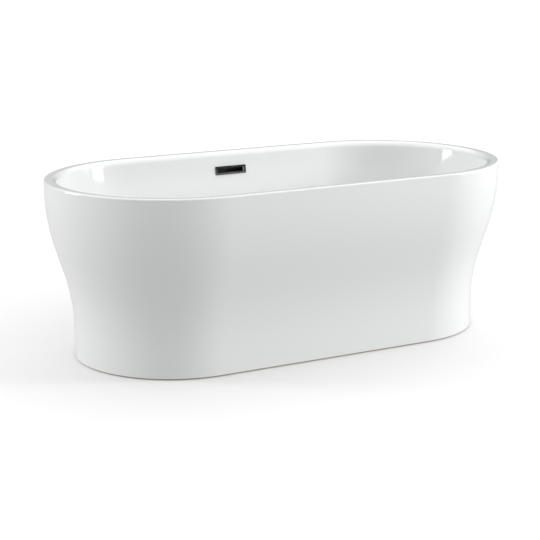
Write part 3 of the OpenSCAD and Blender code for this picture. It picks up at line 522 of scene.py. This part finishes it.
def hexagon_body(corner, low, high, bore):
    """Outline of a hexagon with chamfered ends, from its bore round to its bore again."""
    across, fall = corner * math.cos(math.radians(30)) * 0.97, math.tan(math.radians(30))
    side = lambda a: hexagon_radius(a, corner)
    return [(bore, low), (across, low), (side, lambda a: low + (side(a) - across) * fall),
            (side, lambda a: high - (side(a) - across) * fall), (across, high), (bore, high)]


def thread_radius(a, z):
    """Distance from the stem's middle to its thread, 1 mm deep, at an angle and a height."""
    across = abs((z / PITCH - a / math.tau) % 1 - 0.5)
    return STEM_R - min(1, max(0, 3 * across - 0.25))


ball = [(BALL_R * math.cos(math.radians(t)), BALL_Z + BALL_R * math.sin(math.radians(t)))
        for t in range(-90, 37, 9)]
rows = round((STEM_TOP - HEXAGON_Z[1]) / (PITCH / 6))
heights = [HEXAGON_Z[1] + (STEM_TOP - HEXAGON_Z[1]) * k / rows for k in range(rows + 1)]
thread = [(lambda a, z=z: thread_radius(a, z), z) for z in heights]
tip = [(0.01, STEM_TOP)]
for foot, (fx, fy) in FEET.items():
    stem = Gathered()
    lathe(stem, fx, fy, ball + hexagon_body(1.5 * STEM_R, *HEXAGON_Z, STEM_R - 1) + thread + tip, 24)
    piece = new_piece(foot + "_threaded_stem", stem, zinc, foot + "_stem", crease=30)
    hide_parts(foot + "_stem")

# Nuts: hexagons chamfered at both ends, five welded inside the channels and five that lock the feet
for name, low in (("weld_nuts", 101), ("lock_nuts", 89)):
    nuts = Gathered()
    for fx, fy in FEET.values():
        outline = hexagon_body(NUT_R, low, low + NUT_H, NUT_BORE)
        lathe(nuts, fx, fy, outline + [outline[0]], 48)
    piece = new_piece(name + "_chamfered", nuts, zinc, crease=30)
    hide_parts(name)

# Overflow hose: corrugated between two plain cuffs, led round its bends in easy curves
route = rounded(HOSE_ROUTE, HOSE_BENDS, turn_step=2, run_step=1.0)
spaced, run = [(route[0], 0.0)], 0.0
for (p, _), (q, n) in zip(route, route[1:]):
    step = math.dist(p, q)
    if step > 1e-6:
        run += step
        spaced.append(((q, n), run))


def hose_ring(made, at, normal, radius):
    """A ring of the hose round a point of its route, whose normal lies in the plane x = 0."""
    start = len(made.points)
    for k in range(HOSE_SIDES):
        a = math.tau * k / HOSE_SIDES
        side = radius * math.cos(a)
        made.points.append((radius * math.sin(a), at[0] + side * normal[0], at[1] + side * normal[1]))
    return start


hose_mesh = Gathered()
outside = []
for (at, normal), s in spaced:
    fade = min(1, max(0, (s - HOSE_CUFF) / 3), max(0, (run - HOSE_CUFF - s) / 3))
    dip = 0.65 * (1 - math.cos(math.tau * s / HOSE_WAVE)) * fade
    outside.append(hose_ring(hose_mesh, at, normal, HOSE_R - 0.02 - dip))
bore = [hose_ring(hose_mesh, at, normal, HOSE_BORE) for (at, normal), s in spaced[::4] + spaced[-1:]]
for low, high in zip(outside, outside[1:]):
    hose_mesh.join(low, high, HOSE_SIDES, False)
for low, high in zip(bore, bore[1:]):
    hose_mesh.join(low, high, HOSE_SIDES, True)
hose_mesh.join(outside[0], bore[0], HOSE_SIDES, True)
hose_mesh.join(outside[-1], bore[-1], HOSE_SIDES, False)
piece = new_piece("overflow_hose_corrugated", hose_mesh, hose, crease=50)
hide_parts("overflow_pipe")


# Weld beads where the tie bars cross under the channels
def weld_bead(made, x, y, out):
    """A rippled fillet under a channel at x, along a tie bar's edge at y that faces out (1 or -1)."""
    starts = []
    for k in range(4 * CHANNEL_HALF + 1):
        along = -CHANNEL_HALF + 0.5 * k
        leg = BEAD_LEG + 0.35 * math.cos(math.tau * along / 1.5) - (1.2 if abs(along) == CHANNEL_HALF else 0)
        starts.append(len(made.points))
        made.points.append((x + along, y, CHANNEL_Z))
        for a in (math.radians(t) for t in range(0, 91, 15)):
            made.points.append((x + along, y + out * leg * math.cos(a), CHANNEL_Z - leg * math.sin(a)))
    count = starts[1] - starts[0]
    for low, high in zip(starts, starts[1:]):
        made.join(low, high, count, out > 0)
    ends = [tuple(start + k for k in range(count)) for start in (starts[0], starts[-1])]
    made.faces += [ends[0], ends[1][::-1]] if out > 0 else [ends[0][::-1], ends[1]]


beads = Gathered()
for x in sorted({fx for fx, fy in FEET.values()}):
    for side in (-1, 1):
        weld_bead(beads, x, side * TIE_EDGES[0], -side)
        # The middle channel ends at the tie bars' outer edges, so there is no corner to weld there
        if x != FEET["middle"][0]:
            weld_bead(beads, x, side * TIE_EDGES[1], side)
new_piece("tie_bar_weld_beads", beads, weld, crease=60)


# ---------------------------------------------------------------- room, light and camera
floor_mesh = bpy.data.meshes.new("studio_floor")
corners = ((-60, -60, -0.0003), (60, -60, -0.0003), (60, 60, -0.0003), (-60, 60, -0.0003))
floor_mesh.from_pydata(corners, [], [(0, 1, 2, 3)])
floor = bpy.data.objects.new("studio_floor", floor_mesh)
bpy.context.scene.collection.objects.link(floor)

# Matt white paper floor with a painted shadow round the bath: it is greyer near the bath than far off, standing
# in for the shade the bath casts
paper, tree, skin = finish_of("studio_paper", Roughness=0.8)
place = add(tree, "TexCoord").outputs["Object"]
far = add(tree, "VectorMath", {"operation": "LENGTH"}, _0=place)
# Painted shadow: the floor colour fades from grey round the bath to white between 1 m and 5 m out
painted_shadow_fade = add(tree, "MapRange", {"interpolation_type": "SMOOTHSTEP"}, Value=far.outputs["Value"],
             From_Min=1.0, From_Max=5.0)
painted_shadow_tone = add(tree, "Mix", {"data_type": "RGBA"}, _0=painted_shadow_fade.outputs["Result"], _6=linear("E4E4E4"),
           _7=linear("FCFCFC"))
tree.links.new(painted_shadow_tone.outputs[2], skin.inputs["Base Color"])
floor_mesh.materials.append(paper)
floor.visible_diffuse = floor.visible_glossy = floor.visible_shadow = False

# Studio: a wide pale ceiling, dark walls, and light thrown back up from the floor round the bath
world = bpy.data.worlds.new("studio")
bpy.context.scene.world = world
world.use_nodes = True
sky = world.node_tree
upward = add(sky, "SeparateXYZ", None, Vector=add(sky, "TexCoord").outputs["Generated"])
height = add(sky, "MapRange", None, Value=upward.outputs["Z"], From_Min=-1.0, From_Max=1.0)
room = add(sky, "ValToRGB", None, Fac=height.outputs["Result"])
room.color_ramp.elements[0].position, room.color_ramp.elements[0].color = 0.49, (FLOOR_GLOW,) * 3 + (1,)
room.color_ramp.elements[1].position, room.color_ramp.elements[1].color = 0.5, (0.0, 0.0, 0.0, 1)
for at, level in ((0.72, 0.0), (0.78, 1.0)):
    room.color_ramp.elements.new(at).color = (level,) * 3 + (1,)
sky.links.new(room.outputs["Color"], sky.nodes["Background"].inputs["Color"])
sky.nodes["Background"].inputs["Strength"].default_value = CEILING


def softbox(name, place, aim, wide, high, watts):
    """A flat panel of light at a place, turned to a point."""
    data = bpy.data.lights.new(name, "AREA")
    data.shape, data.size, data.size_y, data.energy = "RECTANGLE", wide, high, watts
    made = bpy.data.objects.new(name, data)
    made.location = place
    made.rotation_euler = (Vector(aim) - Vector(place)).to_track_quat("-Z", "Y").to_euler()
    bpy.context.scene.collection.objects.link(made)
    return made


softbox("key", (4.33, -2.5, 1.5), (0, 0, 0.35), 1.3, 2.4, 143)
softbox("right_light", (4.92, -0.87, 1.5), (0, 0, 0.35), 1.3, 2.4, 26)
softbox("back_left_light", (-4.33, 2.5, 1.5), (0, 0, 0.35), 1.3, 2.4, 100)
softbox("back_right_light", (4.33, 2.5, 1.5), (0, 0, 0.35), 1.3, 2.4, 9)

bpy.context.scene.view_settings.view_transform = "Standard"

# Camera: far back with a long lens, from the left of the front
AIM, TURN, RISE, AWAY = Vector((0, 0, 0.3)), -29.154, 12.566, 4.9475
camera_data = bpy.data.cameras.new("camera")
camera_data.lens = 98.118
camera_data.shift_x, camera_data.shift_y = -0.01839, -0.04011
camera = bpy.data.objects.new("camera", camera_data)
a, e = math.radians(TURN), math.radians(RISE)
back = Vector((math.sin(a) * math.cos(e), -math.cos(a) * math.cos(e), math.sin(e)))
camera.location = AIM + back * AWAY
camera.rotation_euler = (-back).to_track_quat("-Z", "Y").to_euler()
bpy.context.scene.collection.objects.link(camera)
bpy.context.scene.camera = camera

bpy.context.view_layer.update()
